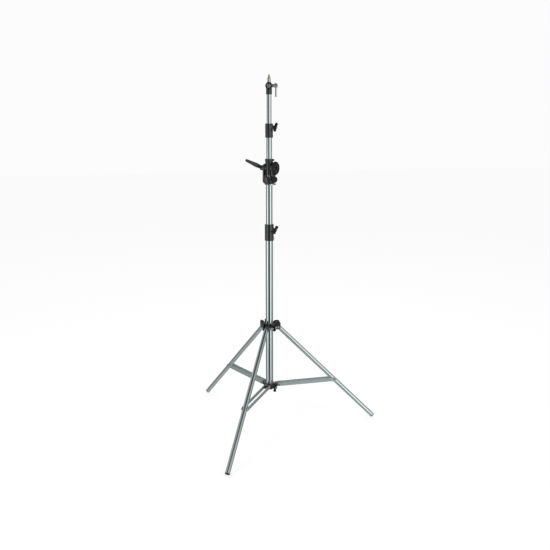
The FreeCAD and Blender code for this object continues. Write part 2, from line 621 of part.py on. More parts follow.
# ---- tip ----------------------------------------------------------------------------------------------
TONGUE_HALF = 6.5
TONGUE_R = 12.0
SLOT = 0.4                       # clearance of the housing's slot around the tongue
SWIVEL_BOLT_R = 5.0
TOMMY_R = 5.0
TOMMY_HEAD_R = 9.5
TOMMY_BOSS = 18.5                # outer face of the tommy screw's boss, from the swivel's axis
TOMMY_HEAD = (25.5, 43.0)        # inner and outer face of its head
SKIRT = 4.0                      # the ferrule reaches this far down over the extension tube
CUP_RIM = 11.5                   # rim of the ferrule's cup, below the swivel's axis


def on_tip(shape):
    """Place a shape in the swivel's frame: Z along its bolt, Y up, X along the tommy screw."""
    return put(shape, radial(SWIVEL_AZIMUTH, TIP_Z))


def tip_ferrule():
    """Plug in the extension tube, a cup over its mouth for the housing, and the swivel's tongue."""
    top = EXTENSION_Z[1]
    plug = disc(EXTENSION_R - WALL, top - 30, top + 1)
    cap = disc(TIP_R, top - SKIRT, TIP_Z - CUP_RIM).cut(disc(EXTENSION_R, top - SKIRT - 1, top))
    cap = cap.cut(on_tip(rod(HOUSING_R + 0.6, Vector(0, 0, -TIP_R - 5), Vector(0, 0, TIP_R + 5))))
    neck = block(Vector(-TONGUE_HALF, -HOUSING_R - 3, -TONGUE_HALF), Vector(TONGUE_HALF, 0, TONGUE_HALF))
    eye = rod(TONGUE_R, Vector(0, 0, -TONGUE_HALF), Vector(0, 0, TONGUE_HALF))
    body = join(plug, cap, on_tip(neck), on_tip(eye))
    return body.cut(on_tip(rod(SWIVEL_BOLT_R + RUN, Vector(0, 0, -20), Vector(0, 0, 20))))


def swivel_housing():
    """Round clevis over the tongue, open below and to the left, with the spigot's seat and a screw boss."""
    body = rod(HOUSING_R, Vector(0, 0, -HOUSING_HALF), Vector(0, 0, HOUSING_HALF))
    body = softened(body, 2.5, lambda edge: edge.Length > 50)
    boss = rod(8.0, Vector(12, 0, 0), Vector(TOMMY_BOSS, 0, 0))
    body = join(body, boss)
    gap = TONGUE_HALF + SLOT / 2
    side = TONGUE_HALF + 1.0
    body = body.cut(rod(TONGUE_R + SLOT, Vector(0, 0, -gap), Vector(0, 0, gap)))
    body = body.cut(block(Vector(-20, -20, -gap), Vector(side, 0, gap)))
    body = body.cut(block(Vector(-20, -side, -gap), Vector(0, side, gap)))
    body = join(on_tip(body), disc(10.5, TIP_Z + TONGUE_R + 1, SPIGOT_Z[0]))
    body = body.cut(on_tip(rod(TONGUE_R + SLOT, Vector(0, 0, -gap), Vector(0, 0, gap))))
    body = body.cut(on_tip(rod(SWIVEL_BOLT_R, Vector(0, 0, -30), Vector(0, 0, 30))))
    return body.cut(on_tip(rod(TOMMY_R + RUN, Vector(TONGUE_R, 0, 0), Vector(30, 0, 0))))


def swivel_bolt():
    """Bolt of the swivel, its broad flat head to the front and a nut behind."""
    shank = rod(SWIVEL_BOLT_R, Vector(0, 0, -HOUSING_HALF), Vector(0, 0, HOUSING_HALF))
    head = join(rod(9.0, Vector(0, 0, HOUSING_HALF), Vector(0, 0, HOUSING_HALF + 2)),
                cone(9.0, 7.0, Vector(0, 0, HOUSING_HALF + 2), Vector(0, 0, HOUSING_HALF + 3.5)))
    corners = [Vector(8 * math.cos(math.radians(k)), 8 * math.sin(math.radians(k)), -HOUSING_HALF)
               for k in range(0, 360, 60)]
    nut = Part.Face(Part.makePolygon(corners + corners[:1])).extrude(Vector(0, 0, -5))
    return on_tip(join(shank, head, nut))


def spigot():
    """Fixture spigot with the stud on its top."""
    low, high = SPIGOT_Z
    body = join(disc(SPIGOT_R, low, high - 1.5),
                cone(SPIGOT_R, SPIGOT_R - 1.5, Vector(0, 0, high - 1.5), Vector(0, 0, high)))
    stud = join(disc(STUD_R, high - 1, STUD_TOP - 1),
                cone(STUD_R, STUD_R - 1, Vector(0, 0, STUD_TOP - 1), Vector(0, 0, STUD_TOP)))
    return join(body, stud)


def tommy_screw():
    """Locking screw of the swivel, with a bored head for its bar."""
    head_start, head_end = TOMMY_HEAD
    shank = rod(TOMMY_R, Vector(TONGUE_R + SLOT + 0.6, 0, 0), Vector(head_start, 0, 0))
    shoulder = rod(TOMMY_HEAD_R - 1, Vector(TOMMY_BOSS + 0.2, 0, 0), Vector(head_start, 0, 0))
    head = rod(TOMMY_HEAD_R, Vector(head_start, 0, 0), Vector(head_end, 0, 0))
    head = softened(head, 1.5, lambda edge: edge.Length > 40)
    middle = (head_start + head_end) / 2
    bar_hole = rod(BAR_R + RUN, Vector(middle, -20, 0), Vector(middle, 20, 0))
    return on_tip(join(shank, shoulder, head).cut(bar_hole))


def tommy_bar():
    """Sliding bar with a swollen end on each side."""
    middle = sum(TOMMY_HEAD) / 2
    low = BAR_Z[0] - TIP_Z
    high = BAR_Z[1] - TIP_Z
    bar = rod(BAR_R, Vector(middle, low + 2, 0), Vector(middle, high - 2, 0))
    ends = [cone(BAR_R + 0.8, BAR_R - 0.6, Vector(middle, low + 2, 0), Vector(middle, low, 0)),
            cone(BAR_R + 0.8, BAR_R - 0.6, Vector(middle, high - 2, 0), Vector(middle, high, 0))]
    return on_tip(join(bar, *ends))


def save_tip():
    """Write the ferrule, the swivel and the spigot."""
    save("tip_ferrule", tip_ferrule())
    save("swivel_housing", swivel_housing())
    save("swivel_bolt", swivel_bolt())
    save("spigot", spigot())
    save("tommy_screw", tommy_screw())
    save("tommy_bar", tommy_bar())


os.makedirs("parts", exist_ok=True)
save_base()
save_tubes()
save_head()
save_tip()
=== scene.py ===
"""Looks of the boom lighting stand: materials, cast and moulded surfaces, threads, studio and camera."""

import json
import math

import bmesh
import bpy
from mathutils import Matrix, Vector

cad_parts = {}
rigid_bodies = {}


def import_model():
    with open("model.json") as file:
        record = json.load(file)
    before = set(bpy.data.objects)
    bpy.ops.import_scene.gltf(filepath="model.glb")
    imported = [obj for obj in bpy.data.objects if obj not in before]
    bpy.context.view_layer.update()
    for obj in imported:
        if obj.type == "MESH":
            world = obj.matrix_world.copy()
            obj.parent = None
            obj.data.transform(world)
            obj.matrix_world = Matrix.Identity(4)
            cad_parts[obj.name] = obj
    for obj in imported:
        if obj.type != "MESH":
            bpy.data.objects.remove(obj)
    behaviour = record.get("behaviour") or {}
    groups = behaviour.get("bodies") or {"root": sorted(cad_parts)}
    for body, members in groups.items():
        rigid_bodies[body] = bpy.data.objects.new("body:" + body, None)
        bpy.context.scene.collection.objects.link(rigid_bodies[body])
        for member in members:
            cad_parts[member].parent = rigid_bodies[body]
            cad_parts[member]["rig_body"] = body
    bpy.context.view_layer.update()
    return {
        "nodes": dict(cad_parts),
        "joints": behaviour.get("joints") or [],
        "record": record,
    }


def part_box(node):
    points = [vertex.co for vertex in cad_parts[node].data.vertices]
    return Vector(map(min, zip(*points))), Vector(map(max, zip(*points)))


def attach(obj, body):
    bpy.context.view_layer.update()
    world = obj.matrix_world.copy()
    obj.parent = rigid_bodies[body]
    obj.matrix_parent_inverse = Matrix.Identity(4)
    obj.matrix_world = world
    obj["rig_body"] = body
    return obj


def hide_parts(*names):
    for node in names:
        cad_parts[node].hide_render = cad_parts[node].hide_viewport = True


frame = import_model()
NODES = frame["nodes"]
JOINTS = {joint["name"]: joint for joint in frame["joints"]}
SLOT_OF = {part["node"]: part["material_slot"] for part in frame["record"]["subparts"]}
MM = 0.001
UP = (0.0, 0.0, 1.0)

# ---- view of the stand ---------------------------------------------------------------------------
HEADING = math.radians(-10.35)   # turn of the view about the column, from looking along +Y
PITCH = math.radians(13.87)      # downward
CAMERA_BACK = 3.6483             # distance in front of the column's axis, along the heading
CAMERA_SIDE = 0.0298             # distance to the right of the column's axis
CAMERA_HEIGHT = 1.7566
SENSOR = 36.0                    # width of the camera's sensor, millimetres
FOCAL_SHARE = 1.294              # focal length as a share of the picture's width
VIEW_DEPTH = 60.0                # nothing further from the camera is drawn


# ---- node helpers --------------------------------------------------------------------------------
class Look:
    """A material under construction: a principled surface and short calls for its nodes."""

    def __init__(self, name):
        self.material = bpy.data.materials.new(name)
        self.material.use_nodes = True
        self.tree = self.material.node_tree
        self.surface = self.tree.nodes["Principled BSDF"]
        self.place = self.add("ShaderNodeTexCoord").outputs["Object"]

    def add(self, kind, **settings):
        made = self.tree.nodes.new(kind)
        for key, value in settings.items():
            setattr(made, key, value)
        return made

    def wire(self, source, target):
        self.tree.links.new(source, target)

    def feed(self, target, value):
        """Set a socket from a number, a colour or another socket."""
        if isinstance(value, bpy.types.NodeSocket):
            self.wire(value, target)
        else:
            target.default_value = value

    def scaled(self, scale):
        """Coordinates stretched by a scale per axis."""
        mapping = self.add("ShaderNodeMapping")
        self.wire(self.place, mapping.inputs["Vector"])
        mapping.inputs["Scale"].default_value = scale
        return mapping.outputs["Vector"]

    def along(self, axis):
        """Distance of a point along a direction, in metres."""
        dot = self.add("ShaderNodeVectorMath", operation="DOT_PRODUCT")
        self.wire(self.place, dot.inputs[0])
        dot.inputs[1].default_value = axis
        return dot.outputs["Value"]

    def noise(self, scale, detail, roughness=0.55, source=None, distortion=0.0):
        made = self.add("ShaderNodeTexNoise")
        self.wire(source or self.place, made.inputs["Vector"])
        made.inputs["Scale"].default_value = scale
        made.inputs["Detail"].default_value = detail
        made.inputs["Roughness"].default_value = roughness
        made.inputs["Distortion"].default_value = distortion
        return made.outputs["Fac"]

    def cells(self, scale):
        """Distance to the nearest of many scattered points."""
        made = self.add("ShaderNodeTexVoronoi")
        self.wire(self.place, made.inputs["Vector"])
        made.inputs["Scale"].default_value = scale
        return made.outputs["Distance"]

    def spread(self, value, low, high, to_low=0.0, to_high=1.0):
        """Map a value's range to another range, clamped."""
        made = self.add("ShaderNodeMapRange")
        made.clamp = True
        self.wire(value, made.inputs["Value"])
        for name, number in zip(("From Min", "From Max", "To Min", "To Max"), (low, high, to_low, to_high)):
            made.inputs[name].default_value = number
        return made.outputs["Result"]

    def combine(self, operation, a, b):
        made = self.add("ShaderNodeMath", operation=operation)
        self.feed(made.inputs[0], a)
        self.feed(made.inputs[1], b)
        return made.outputs[0]

    def plus(self, a, b):
        return self.combine("ADD", a, b)

    def times(self, a, b):
        return self.combine("MULTIPLY", a, b)

    def blend(self, factor, a, b):
        """Colour that goes from a to b with the factor."""
        made = self.add("ShaderNodeMix", data_type="RGBA")
        self.feed(made.inputs["Factor"], factor)
        colours = [socket for socket in made.inputs if socket.type == "RGBA"]
        for socket, value in zip(colours, (a, b)):
            self.feed(socket, value if isinstance(value, bpy.types.NodeSocket) else (*value, 1.0))
        return [socket for socket in made.outputs if socket.type == "RGBA"][0]

    def edges(self, low, high):
        """1 on convex edges, 0 elsewhere."""
        return self.spread(self.add("ShaderNodeNewGeometry").outputs["Pointiness"], low, high)

    def bump(self, height, strength, distance, below=None):
        """Surface direction tilted by a height map, over another one if given."""
        made = self.add("ShaderNodeBump")
        made.inputs["Strength"].default_value = strength
        made.inputs["Distance"].default_value = distance
        self.wire(height, made.inputs["Height"])
        if below is not None:
            self.wire(below, made.inputs["Normal"])
        return made.outputs["Normal"]

    def finish(self, **values):
        """Set the surface's values and return the material."""
        names = {"colour": "Base Color", "metal": "Metallic", "rough": "Roughness", "normal": "Normal",
                 "coat": "Coat Weight", "coat_rough": "Coat Roughness", "specular": "Specular IOR Level"}
        for key, value in values.items():
            target = self.surface.inputs[names[key]]
            if key == "colour" and not isinstance(value, bpy.types.NodeSocket):
                value = (*value, 1.0)
            self.feed(target, value)
        return self.material


# ---- materials -----------------------------------------------------------------------------------
# Noise scales are per metre, bump distances in metres. A noise stays mostly between these two values:
QUIET, LOUD = 0.3, 0.7

CHROME_TINT = (0.725, 0.825, 0.820)
PIT_GREY = (0.30, 0.31, 0.30)
STRIP_BRIGHT = (0.56, 0.66, 0.65)
STRIP_DULL = (0.45, 0.54, 0.53)
SCUFF_GREY = (0.36, 0.39, 0.39)
PAINT_DARK = (0.0068, 0.0090, 0.0096)
PAINT_LIGHT = (0.0115, 0.0145, 0.0150)
DUST_GREY = (0.06, 0.065, 0.065)
# Casting edge colour: rubbed paint and, in part, a painted highlight on the edges.
EDGE_WEAR_HIGHLIGHT_GREY = (0.30, 0.31, 0.31)
NYLON_DARK = (0.0030, 0.0031, 0.0033)
NYLON_LIGHT = (0.0072, 0.0074, 0.0078)
# Knob edge colour: wear and, in part, a painted highlight on the edges.
NYLON_WORN_HIGHLIGHT = (0.030, 0.031, 0.033)
RUBBER_BLACK = (0.016, 0.016, 0.017)
GRIME = (0.15, 0.145, 0.135)
GRIME_HEIGHT = 0.03              # grime gets thinner up to here above the floor

LINES_ACROSS, LINES_ALONG = 420.0, 10.0
CHROME_FADE = 0.93
LEG_HAZE = 0.02


def chrome_look(name, axis=UP, haze=0.0):
    """Bright chromed tube: drawing lines along the tube, faint smudges and fine specks."""
    look = Look(name)
    stretch = tuple(LINES_ACROSS - (LINES_ACROSS - LINES_ALONG) * abs(part) for part in axis)
    lines = look.noise(1.0, detail=4.0, roughness=0.6, source=look.scaled(stretch))
    smudge = look.noise(14.0, detail=5.0, roughness=0.62, distortion=0.6)
    wipe = look.spread(smudge, 0.50, 0.72, to_high=0.10)
    specks = look.spread(look.cells(330.0), 0.0, 0.055, to_low=1.0, to_high=0.0)
    rare = look.spread(look.noise(60.0, detail=2.0), 0.60, 0.66)
    pits = look.times(specks, rare)
    rough = look.plus(look.plus(look.spread(lines, 0.35, 0.65, to_low=0.045, to_high=0.085), wipe), haze)
    faded = tuple(CHROME_FADE * part for part in CHROME_TINT)
    colour = look.blend(look.spread(smudge, 0.3, 0.75), CHROME_TINT, faded)
    colour = look.blend(pits, colour, PIT_GREY)
    grooves = look.bump(lines, strength=0.06, distance=0.0002)
    waves = look.bump(look.noise(9.0, detail=1.0), strength=0.10, distance=0.0006, below=grooves)
    rough = look.plus(rough, look.times(pits, 0.4))
    return look.finish(colour=colour, metal=1.0, rough=rough, normal=waves)


def strip_look():
    """Satin zinc-plated rolled strip: mottled plating, rolling lines and scuffs."""
    look = Look("satin_strip")
    mottle = look.noise(75.0, detail=5.0, roughness=0.6)
    spangle = look.cells(210.0)
    lines = look.noise(1.0, detail=5.0, roughness=0.7, source=look.scaled((60.0, 60.0, 900.0)))
    plating = look.spread(mottle, QUIET, LOUD, to_high=0.6)
    tone = look.plus(plating, look.spread(spangle, 0.0, 0.7, to_high=0.4))
    colour = look.blend(tone, STRIP_BRIGHT, STRIP_DULL)
    streaks = look.noise(1.0, detail=3.0, roughness=0.5, source=look.scaled((16.0, 16.0, 480.0)))
    scuff = look.spread(streaks, 0.64, 0.70)
    colour = look.blend(look.times(scuff, 0.55), colour, SCUFF_GREY)
    rough = look.plus(look.spread(mottle, QUIET, LOUD, to_low=0.34, to_high=0.47), look.times(scuff, 0.12))
    normal = look.bump(lines, strength=0.18, distance=0.0002)
    normal = look.bump(spangle, strength=0.05, distance=0.0003, below=normal)
    return look.finish(colour=colour, metal=0.85, rough=rough, normal=normal)


def casting_look():
    """Gloss black powder coat: orange peel, fine dust, and pale patches on the edges that are partly rubbed
    paint and partly a painted highlight.
    """
    look = Look("black_casting")
    peel = look.noise(620.0, detail=2.0, roughness=0.4)
    ripple = look.noise(70.0, detail=3.0, roughness=0.5)
    # Paler patches on the convex edges: partly rubbed paint, partly a painted highlight where light catches
    # the edges.
    edge_patches = look.spread(look.noise(90.0, detail=4.0, roughness=0.7), 0.42, 0.62)
    edge_wear_and_highlight = look.times(look.edges(0.52, 0.60), edge_patches)
    dust = look.spread(look.noise(900.0, detail=2.0, roughness=0.8), 0.66, 0.74)
    base = look.blend(look.spread(ripple, QUIET, LOUD), PAINT_DARK, PAINT_LIGHT)
    colour = look.blend(look.times(dust, 0.15), base, DUST_GREY)
    colour = look.blend(look.times(edge_wear_and_highlight, 0.6), colour, EDGE_WEAR_HIGHLIGHT_GREY)
    rough = look.plus(look.spread(ripple, QUIET, LOUD, to_low=0.10, to_high=0.17), look.times(edge_wear_and_highlight, 0.15))
    normal = look.bump(peel, strength=0.05, distance=0.0003)
    normal = look.bump(ripple, strength=0.04, distance=0.0006, below=normal)
    return look.finish(colour=colour, metal=0.0, rough=rough, normal=normal, specular=0.85, coat=0.30,
                       coat_rough=0.06)


def knob_look():
    """Moulded black nylon: fine spark-eroded grain; convex edges glossier and painted paler, partly wear
    and partly a painted highlight.
    """
    look = Look("black_knob")
    grain = look.noise(2600.0, detail=2.0, roughness=0.6)
    tone = look.noise(90.0, detail=4.0, roughness=0.6)
    # Convex edges: lower roughness, and a paler colour that is partly wear and partly a painted highlight.
    worn_and_shiny_edges = look.edges(0.53, 0.62)
    colour = look.blend(look.spread(tone, QUIET, LOUD), NYLON_DARK, NYLON_LIGHT)
    colour = look.blend(look.times(worn_and_shiny_edges, 0.5), colour, NYLON_WORN_HIGHLIGHT)
    rough = look.plus(look.spread(tone, QUIET, LOUD, to_low=0.24, to_high=0.34), look.times(worn_and_shiny_edges, -0.10))
    normal = look.bump(grain, strength=0.30, distance=0.0002)
    return look.finish(colour=colour, rough=rough, normal=normal, specular=0.40)


def rubber_look():
    """Matt black rubber: skin texture, grey scuffs, dust that gathers towards the floor."""
    look = Look("black_rubber")
    skin = look.noise(1500.0, detail=3.0, roughness=0.7)
    scuff = look.spread(look.noise(150.0, detail=5.0, roughness=0.75, distortion=1.0), 0.58, 0.72)
    height = look.add("ShaderNodeSeparateXYZ")
    look.wire(look.place, height.inputs[0])
    low = look.spread(height.outputs["Z"], 0.0, GRIME_HEIGHT, to_low=0.55, to_high=0.1)
    colour = look.blend(look.times(scuff, low), RUBBER_BLACK, GRIME)
    rough = look.spread(skin, QUIET, LOUD, to_low=0.62, to_high=0.80)
    normal = look.bump(skin, strength=0.35, distance=0.0004)
    return look.finish(colour=colour, rough=rough, normal=normal, specular=0.35)


def plastic_look(name, dark, light):
    """Matt machined or moulded plastic with faint tool rings."""
    look = Look(name)
    rings = look.add("ShaderNodeTexWave", bands_direction="Z", wave_profile="SAW")
    look.wire(look.place, rings.inputs["Vector"])
    rings.inputs["Scale"].default_value = 420.0
    rings.inputs["Distortion"].default_value = 0.8
    tone = look.noise(110.0, detail=4.0, roughness=0.6)
    colour = look.blend(look.spread(tone, QUIET, LOUD), dark, light)
    rough = look.spread(tone, QUIET, LOUD, to_low=0.48, to_high=0.62)
    normal = look.bump(rings.outputs["Fac"], strength=0.08, distance=0.0002)
    return look.finish(colour=colour, rough=rough, normal=normal)


def metal_look(name, bright, dull, rings, rough, axis=UP, ring_depth=0.12):
    """Turned or plated metal: tool rings across an axis, cloudy plating and handling marks."""
    look = Look(name)
    wave = look.add("ShaderNodeTexNoise")
    wave.noise_dimensions = "1D"
    look.wire(look.along(axis), wave.inputs["W"])
    wave.inputs["Scale"].default_value = rings
    wave.inputs["Detail"].default_value = 5.0
    ridges = wave.outputs["Fac"]
    cloud = look.noise(160.0, detail=4.0, roughness=0.6)
    marks = look.spread(look.noise(420.0, detail=3.0, roughness=0.8, distortion=1.2), 0.60, 0.68)
    colour = look.blend(look.spread(cloud, QUIET, LOUD), bright, dull)
    colour = look.blend(look.times(marks, 0.4), colour, tuple(0.55 * part for part in dull))
    polish = look.spread(ridges, QUIET, LOUD, *rough)
    normal = look.bump(ridges, strength=ring_depth, distance=0.0002)
    handled = look.plus(polish, look.times(marks, 0.10))
    return look.finish(colour=colour, metal=1.0, rough=handled, normal=normal)


LOOKS = {
    "chrome_tube": chrome_look("chrome_tube"),
    "satin_strip": strip_look(),
    "black_casting": casting_look(),
    "black_knob": knob_look(),
    "black_rubber": rubber_look(),
    "black_plastic": plastic_look("black_plastic", dark=(0.013, 0.013, 0.014), light=(0.026, 0.026, 0.027)),
    "nylon_liner": plastic_look("nylon_liner", dark=(0.050, 0.050, 0.053), light=(0.085, 0.085, 0.088)),
    "zinc_bolt": metal_look("zinc_bolt", bright=(0.74, 0.76, 0.78), dull=(0.60, 0.62, 0.64),
                            rings=900.0, rough=(0.18, 0.34)),
    "turned_steel": metal_look("turned_steel", bright=(0.70, 0.69, 0.61), dull=(0.58, 0.56, 0.48),
                               rings=2600.0, rough=(0.20, 0.36), ring_depth=0.25),
    "brass_pad": metal_look("brass_pad", bright=(0.80, 0.62, 0.30), dull=(0.62, 0.46, 0.20),
                            rings=1400.0, rough=(0.22, 0.38)),
}
BAR_LOOK = metal_look("tommy_steel", bright=(0.74, 0.75, 0.75), dull=(0.58, 0.59, 0.60), rings=1900.0,
                      rough=(0.18, 0.30), axis=tuple(JOINTS["tommy_screw_turn"]["axis"]))


def leg_direction(number):
    """Direction of a leg tube at rest, near enough for the drawing lines along it."""
    low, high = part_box(f"leg_tube_{number}")
    foot_low, foot_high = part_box(f"foot_plug_{number}")
    reach = (foot_low + foot_high) / 2
    return Vector((reach.x, reach.y, low.z - high.z)).normalized()


LEG_LOOKS = {
    f"leg_tube_{number}": chrome_look(f"leg_chrome_{number}", tuple(leg_direction(number)), LEG_HAZE)
    for number in (1, 2, 3)
}


# ---- mesh helpers --------------------------------------------------------------------------------
WELD_GAP = 0.02 * MM
SMOOTH_FACTOR = 0.5
ON_AXIS = 1e-4                   # a lathe point nearer to the axis than this, in millimetres, is on it


def baked(obj):
    """Replace an object's modifiers by their result."""
    depsgraph = bpy.context.evaluated_depsgraph_get()
    result = bpy.data.meshes.new_from_object(obj.evaluated_get(depsgraph))
    obj.modifiers.clear()
    obj.data = result
    return obj


def dress(obj, material, angle=None):
    """One material, and smooth shading up to an angle."""
    obj.data.materials.clear()
    obj.data.materials.append(material)
    for polygon in obj.data.polygons:
        polygon.material_index = 0
    if angle is None:
        obj.data.shade_smooth()
    else:
        obj.data.set_sharp_from_angle(angle=math.radians(angle))
    return obj


def stand_for(obj, *nodes):
    """The piece takes the place and body of CAD nodes, which it hides."""
    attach(obj, NODES[nodes[0]]["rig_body"])
    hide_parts(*nodes)
    return obj


def cast_copy(node, voxel_mm, passes, material):
    """Copy of a CAD node with every edge rounded the way a mould or a casting leaves it."""
    source = NODES[node]
    obj = bpy.data.objects.new(node + "_cast", source.data.copy())
    bpy.context.scene.collection.objects.link(obj)
    weld = obj.modifiers.new("weld", "WELD")
    weld.merge_threshold = WELD_GAP
    remesh = obj.modifiers.new("remesh", "REMESH")
    remesh.mode = "VOXEL"
    remesh.voxel_size = voxel_mm * MM
    smooth = obj.modifiers.new("smooth", "SMOOTH")
    smooth.factor = SMOOTH_FACTOR
    smooth.iterations = passes
    baked(obj)
    dress(obj, material)
    return stand_for(obj, node)


def lathe(name, profile, place, segments):
    """Closed turned piece from (radius, height) points in millimetres, its axis on the place's local Z."""
    mesh = bmesh.new()
    rings = []
    for radius, height in profile:
        if radius < ON_AXIS:
            rings.append([mesh.verts.new(place @ Vector((0, 0, height * MM)))])
            continue
        ring = []
        for step in range(segments):
            turn = 2 * math.pi * step / segments
            point = Vector((radius * math.cos(turn), radius * math.sin(turn), height)) * MM
            ring.append(mesh.verts.new(place @ point))
        rings.append(ring)
    for below, above in zip(rings, rings[1:]):
        for step in range(segments):
            after = (step + 1) % segments
            corners = [below[step % len(below)], below[after % len(below)],
                       above[after % len(above)], above[step % len(above)]]
            unique = list(dict.fromkeys(corners))
            if len(unique) > 2:
                mesh.faces.new(unique)
    bmesh.ops.recalc_face_normals(mesh, faces=mesh.faces)
    data = bpy.data.meshes.new(name)
    mesh.to_mesh(data)
    mesh.free()
    obj = bpy.data.objects.new(name, data)
    bpy.context.scene.collection.objects.link(obj)
    return obj


def thread_profile(radius, start, end, pitch, depth):
    """Zigzag outline of a thread between two heights, with a narrow flat on each crest."""
    crest_start, crest_end = 0.42 * pitch, 0.58 * pitch
    points = []
    height = start
    while height < end - pitch:
        points += [(radius - depth, height), (radius, height + crest_start), (radius, height + crest_end)]
        height += pitch
    points.append((radius - depth, end))
    return points


# ---- finishes of the CAD nodes -------------------------------------------------------------------
SMOOTH_ANGLE = 30.0              # faces that meet at a smaller angle are shaded as one surface
EDGE_ANGLE = 40.0                # edges sharper than this are broken
EDGE_WIDTH = 0.5 * MM
EDGE_STEPS = 3

for name, obj in NODES.items():
    material = LEG_LOOKS.get(name) or LOOKS[SLOT_OF[name]]
    if name in ("tommy_bar", "tommy_screw"):
        material = BAR_LOOK
    dress(obj, material, SMOOTH_ANGLE)
    broken = SLOT_OF[name] in ("zinc_bolt", "satin_strip") or name.startswith("foot_plug")
    if broken or name == "tommy_screw":
        bevel = obj.modifiers.new("edge", "BEVEL")
        bevel.width = EDGE_WIDTH
        bevel.segments = EDGE_STEPS
        bevel.limit_method = "ANGLE"
        bevel.angle_limit = math.radians(EDGE_ANGLE)
        bevel.harden_normals = True

# ---- castings and mouldings ----------------------------------------------------------------------
# Voxel size of each rounded copy, in millimetres, and how many times its surface is smoothed.
CASTINGS = {
    "upper_spider": 1.1, "lower_spider": 1.1, "head_yoke": 1.0, "boom_cradle": 0.8, "tilt_lever": 0.8,
    "column_collar": 0.9, "boom_collar": 0.8, "cradle_clamp_ring": 0.6, "tip_ferrule": 0.6,
    "swivel_housing": 0.55,
}
MOULDINGS = {
    "upper_spider_knob": 0.5, "lower_spider_knob": 0.5, "column_collar_knob": 0.5, "boom_collar_knob": 0.5,
    "boom_lock_knob": 0.7, "head_lock_knob": 0.4,
}
CASTING_PASSES = 6
MOULDING_PASSES = 4
for name, voxel in CASTINGS.items():
    cast_copy(name, voxel, CASTING_PASSES, LOOKS["black_casting"])
for name, voxel in MOULDINGS.items():
    cast_copy(name, voxel, MOULDING_PASSES, LOOKS["black_knob"])


# ---- spigot with its threaded stud ---------------------------------------------------------------
# Millimetres.
STUD_R = 4.75
STUD_LENGTH = 13.0
THREAD_PITCH = 1.59
THREAD_DEPTH = 0.62
THREAD_GAP = (0.6, 1.2)          # plain lengths below and above the thread
FOOT_CHAMFER = 0.4
SHOULDER_CHAMFER = 1.6
STUD_CHAMFER = 1.1
SPIGOT_STEPS = 72
SPIGOT_SMOOTH_ANGLE = 28.0


def threaded_spigot():
    low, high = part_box("spigot")
    radius = (high.x - low.x) / 2 / MM
    height = (high.z - low.z) / MM
    shoulder = height - STUD_LENGTH
    profile = [
        (0, 0), (radius - FOOT_CHAMFER, 0), (radius, FOOT_CHAMFER), (radius, shoulder - SHOULDER_CHAMFER),
        (radius - SHOULDER_CHAMFER, shoulder), (STUD_R, shoulder),
    ]
    start, end = shoulder + THREAD_GAP[0], height - THREAD_GAP[1]
    profile += thread_profile(STUD_R, start, end, THREAD_PITCH, THREAD_DEPTH)
    profile += [(STUD_R - STUD_CHAMFER, height), (0, height)]
    place = Matrix.Translation(Vector((0, 0, low.z)))
    obj = lathe("spigot_turned", profile, place, SPIGOT_STEPS)
    dress(obj, LOOKS["turned_steel"], SPIGOT_SMOOTH_ANGLE)
    return stand_for(obj, "spigot")


threaded_spigot()

# ---- studio --------------------------------------------------------------------------------------
# Brightness that a mirror sees at each bearing, in degrees to the right of the camera's side.
# Rays that go down meet the low bands, with a narrow soft box on each side; level rays meet the high bands,
# with one broad box on the right.
LOW_BANDS = (
    (-180, 0.95), (-150, 0.42), (-120, 0.26), (-98, 0.30), (-74, 0.40), (-66, 0.90), (-60, 1.45),
    (-44, 1.45), (-35, 0.18), (-14, 0.12), (4, 0.06), (20, 0.10), (27, 0.35), (34, 1.50), (50, 1.50),
    (60, 0.50), (80, 0.36), (105, 0.34), (140, 0.26), (160, 0.50), (180, 0.95),
)
HIGH_BANDS = (
    (-180, 0.90), (-150, 0.50), (-110, 0.42), (-78, 0.50), (-62, 0.34), (-50, 0.12), (-14, 0.08),
    (-4, 0.30), (8, 0.80), (34, 0.95), (66, 0.90), (82, 0.40), (104, 0.28), (140, 0.30), (165, 0.55),
    (180, 0.90),
)
# Limits on the upward part of a ray's direction, and the brightness or the share reached there.
LOW_FADE = (-0.42, -0.22, 0.62, 1.0)    # the low bands are dimmer on steep rays
EYE_LEVEL = (-0.13, -0.02)              # low bands change into high bands
SKY = (0.28, 0.45, 0.46)                # everything changes into one even level above the soft boxes
CEILING = (0.66, 0.86, 0.07)
GROUND = (-0.62, -0.46, 0.42)           # the even level is reached at the lower limit
BACKDROP = 0.97                         # brightness behind the stand and of the light from all round

FLOOR_HALF = 14.0
FLOOR_DROP = 0.8 * MM                   # a gap under the feet, so that no faces coincide
FLOOR_GLOW = 0.80
FLOOR_GREY = 0.16

AIM_HEIGHT = 1.0
# Soft boxes: bearing in degrees, height, distance, size, power in watts.
SOFT_BOXES = {
    "key": (-42, 3.0, 3.4, (1.4, 1.8), 55),
    "fill": (48, 2.4, 3.6, (1.6, 1.6), 35),
    "top": (170, 3.6, 2.2, (2.0, 2.0), 30),
}


